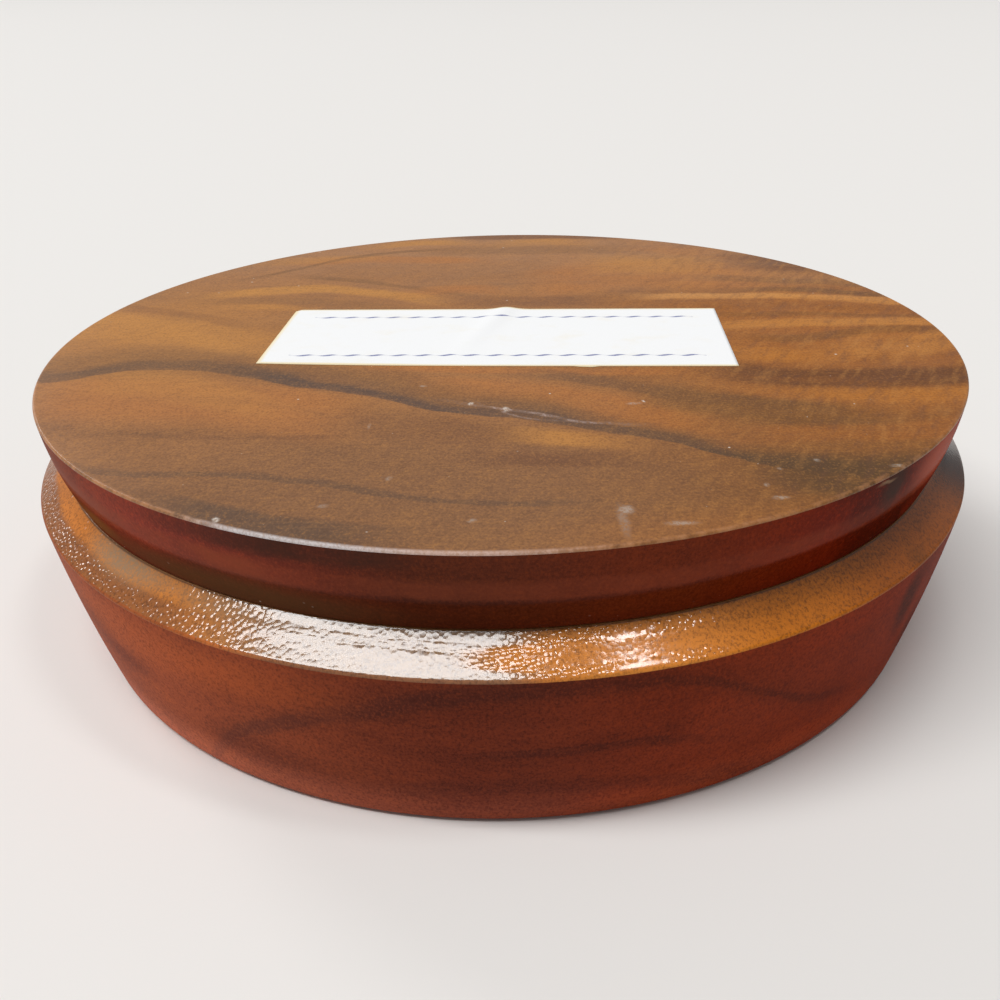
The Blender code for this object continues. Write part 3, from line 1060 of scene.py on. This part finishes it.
def ledge_wood():
    """The ledge, where the lacquer ran thick and dried in drops."""
    graph, place = new_material("ledge_wood")
    spot = Spot(graph, place)
    base = ledge_figure(graph, place, spot)
    height = graph.parts(place)[2]
    # A thin darker line along the seam
    seam_darkening = graph.smooth(height, WAIST_MM - SEAM_DARK_LINE_MM, WAIST_MM - SEAM_DARK_LINE_MM / 3, 0.0, 0.8)
    base = graph.mix(seam_darkening, base, PORE)
    near = graph.smooth(height, WAIST_MM - SEAM_DUST_REACH_MM, WAIST_MM - SEAM_DARK_LINE_MM)
    base = seam_dust(graph, base, place, near, spot.along)
    relief = graph.bump(ledge_drops(graph, place, spot), DROP_HEIGHT_MM)
    return lacquered(graph, base, relief, Coat_Weight=0.85, Coat_Roughness=0.12, Coat_IOR=1.6)


def lip_wood():
    """The lip, where handling has rubbed the gloss off."""
    graph, place = new_material("lip_wood")
    spot = Spot(graph, place)
    left = graph.smooth(spot.along, *LIP_TINT_SHARES)
    base = graph.tinted(ledge_figure(graph, place, spot), LIP_TINT, left)
    relief = graph.bump(graph.noise(place, PEEL_MM), PEEL_HEIGHT_MM)
    return graph.finish(Base_Color=base, Roughness=0.5, Specular_IOR_Level=0.15, Normal=relief)


def inside_wood(name):
    """Bare turned wood, with the fine rings that the tool left."""
    graph, place = new_material(name)
    base = with_fibre(graph, plain_figure(graph, place, 1.2), place)
    rings = graph.node("TexWave", {
        "Vector": place, "Scale": 2.0, "Distortion": 0.6, "Detail": 2.0, "Detail Scale": 0.3,
    }, wave_type="RINGS", rings_direction="Z")
    relief = graph.bump(rings.outputs["Fac"], PEEL_HEIGHT_MM)
    return graph.finish(Base_Color=base, Roughness=0.45, Specular_IOR_Level=0.3, Normal=relief)


def rule_ink(graph, x, y, fibre):
    """How inked the paper is, from 0 to 1, by the strokes of the two wavy rules."""
    phase = graph.product(x, math.tau / RULE_PERIOD_MM)
    wave = graph.product(graph.math("SINE", phase), RULE_SWING_MM)
    swell = graph.scaled(graph.math("COSINE", phase), RULE_SWELL_MM, RULE_WIDTH_MM)
    rules = []
    for height in RULE_HEIGHTS_MM:
        away = graph.math("ABSOLUTE", graph.math("SUBTRACT", y, graph.sum(wave, height)))
        away = graph.math("SUBTRACT", away, swell)
        rules.append(graph.smooth(away, RULE_BLUR_MM, -RULE_BLUR_MM))
    end = RULE_HALF_LENGTH_MM - RULE_END_MM
    ends = graph.smooth(graph.math("ABSOLUTE", x), RULE_HALF_LENGTH_MM, end)
    thin = graph.smooth(fibre, 0.3, 0.6, 1.0, 0.75)
    return graph.product(graph.largest(*rules), ends, thin)


def label_paper():
    """White paper, aged along its edges, with two printed wavy rules."""
    graph, place = new_material("label_paper")
    x, y = graph.parts(place)[:2]
    half_width = LABEL_WIDTH / MM / 2
    half_depth = LABEL_DEPTH / MM / 2
    stain = graph.sway(place, STAIN_MM, STAIN_REACH_MM, 3.0)
    inside_x = graph.sum(half_width, x)
    stray = graph.smooth(x, -half_width, 0.0, 0.0, FRONT_REACH / MM)
    inside_front = graph.sum(y, half_depth, stray)
    inside_back = graph.math("SUBTRACT", half_depth, y)
    inside_y = graph.math("MINIMUM", inside_front, inside_back)
    inward = graph.sum(graph.math("MINIMUM", inside_x, inside_y), stain)
    base = graph.mix(graph.smooth(inward, AGED_WIDTH_MM, 0.0, 0.0, 0.9), PAPER, AGED_PAPER)
    mottle = graph.noise(place, STAIN_MM, 4.0, 0.6)
    base = graph.mix(graph.smooth(mottle, 0.5, 0.8, 0.0, 0.2), base, AGED_PAPER)
    fibre = graph.noise(place, GRIT_MM, 3.0, 0.6)
    base = graph.mix(rule_ink(graph, x, y, fibre), base, INK)
    relief = graph.bump(fibre, FIBRE_HEIGHT_MM)
    return graph.finish(Base_Color=base, Roughness=0.75, Specular_IOR_Level=0.3, Normal=relief)


def pucker(x, y):
    """The height of the label's pucker, a soft ridge that dies away down the label."""
    top = Vector(PUCKER_TOP)
    run = Vector(PUCKER_END) - top
    offset = Vector((x, y)) - top
    share = offset.dot(run) / run.length_squared
    away = (offset - run * share).length / PUCKER_HALF_WIDTH
    fade = max(0.0, min(1.0, PUCKER_FADE - share))
    return PUCKER_HEIGHT * fade * math.exp(-away * away)


def label_outline(x, y):
    """The label's edge: a front cut that strays, one nicked corner and a torn fringe."""
    half_width = LABEL_WIDTH / 2
    half_depth = LABEL_DEPTH / 2
    front = max(0.0, -y / half_depth)
    along = (x + half_width) / LABEL_WIDTH
    on_front_edge = y < LABEL_STEP / 2 - half_depth
    y -= FRONT_REACH * front * (1 - (1 - along) ** FRONT_CURVE)
    corner = (x + half_width) + (half_depth - y)
    if corner < CORNER_NICK:
        x += (CORNER_NICK - corner) / 2
        y -= (CORNER_NICK - corner) / 2
    if on_front_edge and TORN_START < x < TORN_END:
        share = (x - TORN_START) / (TORN_END - TORN_START)
        swing = noise.noise(Vector((x / TORN_GRAIN, 0, 0)))
        ragged = TORN_LEAST + (1 - TORN_LEAST) * swing
        y -= TORN_REACH * math.sin(math.pi * share) * ragged
    return x, y


def label_sheet(material):
    shape = bmesh.new()
    columns = round(LABEL_WIDTH / LABEL_STEP)
    rows = round(LABEL_DEPTH / LABEL_STEP)
    bmesh.ops.create_grid(shape, x_segments=columns, y_segments=rows, size=1)
    bmesh.ops.scale(shape, vec=(LABEL_WIDTH / 2, LABEL_DEPTH / 2, 1), verts=shape.verts[:])
    for vertex in shape.verts:
        x, y = label_outline(vertex.co.x, vertex.co.y)
        vertex.co = (x, y, pucker(x, y))
    piece = smooth_piece("label_sheet", shape, [material])
    piece.location = (0, 0, BOX_HEIGHT + LABEL_THICKNESS)
    piece.rotation_euler = (0, 0, LABEL_TURN)
    thick = piece.modifiers.new("thickness", "SOLIDIFY")
    thick.thickness = LABEL_THICKNESS
    thick.offset = -1
    return piece


def floor_paint():
    graph, place = new_material("floor_paint")
    grain = graph.noise(place, FLOOR_GRAIN_MM, 3.0, 0.6)
    relief = graph.bump(grain, FIBRE_HEIGHT_MM)
    return graph.finish(Base_Color=FLOOR_SHADE, Roughness=0.9, Normal=relief)


def make_camera():
    data = bpy.data.cameras.new("camera")
    data.sensor_width = SENSOR_WIDTH_MM
    data.lens = SENSOR_WIDTH_MM * FOCAL_PIXELS / PICTURE_PIXELS
    data.clip_start = MM
    camera = placed("camera", data)
    tilt = Matrix.Rotation(math.radians(90) - CAMERA_PITCH, 4, "X")
    roll = Matrix.Rotation(CAMERA_ROLL, 4, "Z")
    camera.matrix_world = Matrix.Translation(CAMERA_PLACE) @ tilt @ roll
    bpy.context.scene.camera = camera


def make_stage():
    mesh = bpy.data.meshes.new("floor")
    corners = [(-1, -1), (1, -1), (1, 1), (-1, 1)]
    mesh.from_pydata([(x * FLOOR_REACH, y * FLOOR_REACH, 0) for x, y in corners], [], [(0, 1, 2, 3)])
    mesh.materials.append(floor_paint())
    floor = placed("floor", mesh)
    world = bpy.data.worlds.new("studio")
    bpy.context.scene.world = world
    world.use_nodes = True
    back = world.node_tree.nodes["Background"]
    back.inputs["Color"].default_value = WORLD_COLOUR
    back.inputs["Strength"].default_value = WORLD_LIGHT


def add_lamp(kind, way, power):
    """A lamp that shines back along the way given from the box."""
    data = bpy.data.lights.new("soft_lamp", kind)
    data.energy = power
    lamp = placed("soft_lamp", data)
    lamp.rotation_mode = "QUATERNION"
    lamp.rotation_quaternion = Vector(way).to_track_quat("Z", "Y")
    return lamp


def make_box_light():
    way = Vector(BOX_LIGHT_WAY).normalized()
    along = Vector(BOX_LIGHT_ALONG)
    along = (along - way * way.dot(along)).normalized()
    lamp = add_lamp("AREA", way, BOX_LIGHT_POWER)
    lamp.data.shape = "RECTANGLE"
    lamp.data.size = BOX_LIGHT_LENGTH
    lamp.data.size_y = BOX_LIGHT_WIDTH
    lamp.rotation_quaternion = Matrix((along, way.cross(along), way)).transposed().to_quaternion()
    lamp.location = way * BOX_LIGHT_DISTANCE


def make_lights():
    make_box_light()
    for way, width, strength in FAR_LAMPS:
        add_lamp("SUN", way, strength).data.angle = width


def main():
    bpy.context.scene.view_settings.view_transform = "Standard"
    make_camera()
    make_stage()
    make_lights()
    lid = turned_piece("lid_body", lid_corners(), {
        "hidden": inside_wood("lid_top_wood"),
        "side": lid_side_wood(),
        "lip": lip_wood(),
        "ledge": ledge_wood(),
        "inside": inside_wood("lid_inside_wood"),
    })
    base = turned_piece("base_body", base_corners(), {
        "inside": inside_wood("base_inside_wood"),
        "side": base_side_wood(),
        "face": face_wood(),
    })
    label = label_sheet(label_paper())
    for piece, body, node, slot in (
        (lid, "lid", "lid", "lid_wood"),
        (base, "base", "base", "base_wood"),
        (label, "base", "paper_label", "label_paper"),
    ):
        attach(piece, body)
        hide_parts(node)


main()
